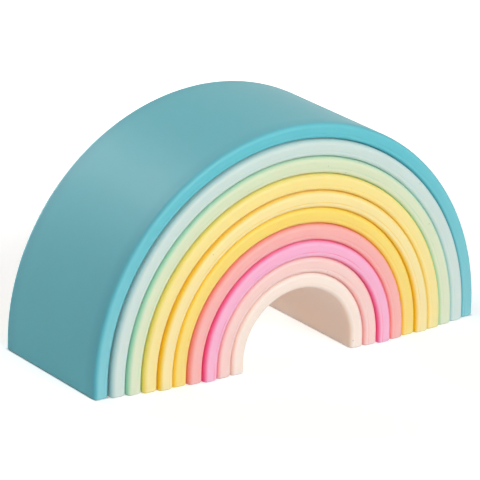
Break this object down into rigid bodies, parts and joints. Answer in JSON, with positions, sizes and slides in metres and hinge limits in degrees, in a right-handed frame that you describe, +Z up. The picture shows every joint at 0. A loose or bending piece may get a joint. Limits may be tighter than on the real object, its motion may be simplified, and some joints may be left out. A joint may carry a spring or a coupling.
{
  "type": "nesting rainbow stacker",
  "caption": "Rainbow stacker of loose half-ring arches in soft matte rubber, nested one inside the next on flat feet, each able to slide out of the nest by itself.",
  "frame": {"origin": "on the floor under the middle of the nest's width and of its whole depth", "axes": "+X across the arches towards the right foot, +Y through the depth towards the back, +Z up"},
  "size_m": [0.26, 0.1024, 0.1365],
  "materials": {
    "teal_arch": "matte",
    "pale_blue_arch": "matte",
    "mint_arch": "matte",
    "pale_yellow_arch": "matte",
    "cream_yellow_arch": "matte",
    "golden_arch": "matte",
    "coral_arch": "matte",
    "pink_arch": "matte",
    "blush_arch": "matte",
    "cream_arch": "matte"
  },
  "bodies": {
    "teal_arch": {"teal_arch": "teal_arch"},
    "pale_blue_arch": {"pale_blue_arch": "pale_blue_arch"},
    "mint_arch": {"mint_arch": "mint_arch"},
    "pale_yellow_arch": {"pale_yellow_arch": "pale_yellow_arch"},
    "cream_yellow_arch": {"cream_yellow_arch": "cream_yellow_arch"},
    "golden_arch": {"golden_arch": "golden_arch"},
    "coral_arch": {"coral_arch": "coral_arch"},
    "pink_arch": {"pink_arch": "pink_arch"},
    "blush_arch": {"blush_arch": "blush_arch"},
    "cream_arch": {"cream_arch": "cream_arch"}
  },
  "joints": [
    {"name": "pale_blue_pull", "type": "slide", "parent": "teal_arch", "child": "pale_blue_arch", "axis": [0, -1, 0], "range_m": [-0.11, 0.11]},
    {"name": "mint_pull", "type": "slide", "parent": "teal_arch", "child": "mint_arch", "axis": [0, -1, 0], "range_m": [-0.11, 0.11]},
    {"name": "pale_yellow_pull", "type": "slide", "parent": "teal_arch", "child": "pale_yellow_arch", "axis": [0, -1, 0], "range_m": [-0.11, 0.11]},
    {"name": "cream_yellow_pull", "type": "slide", "parent": "teal_arch", "child": "cream_yellow_arch", "axis": [0, -1, 0], "range_m": [-0.11, 0.11]},
    {"name": "golden_pull", "type": "slide", "parent": "teal_arch", "child": "golden_arch", "axis": [0, -1, 0], "range_m": [-0.11, 0.11]},
    {"name": "coral_pull", "type": "slide", "parent": "teal_arch", "child": "coral_arch", "axis": [0, -1, 0], "range_m": [-0.11, 0.11]},
    {"name": "pink_pull", "type": "slide", "parent": "teal_arch", "child": "pink_arch", "axis": [0, -1, 0], "range_m": [-0.11, 0.11]},
    {"name": "blush_pull", "type": "slide", "parent": "teal_arch", "child": "blush_arch", "axis": [0, -1, 0], "range_m": [-0.11, 0.11]},
    {"name": "cream_pull", "type": "slide", "parent": "teal_arch", "child": "cream_arch", "axis": [0, -1, 0], "range_m": [-0.11, 0.11]}
  ]
}
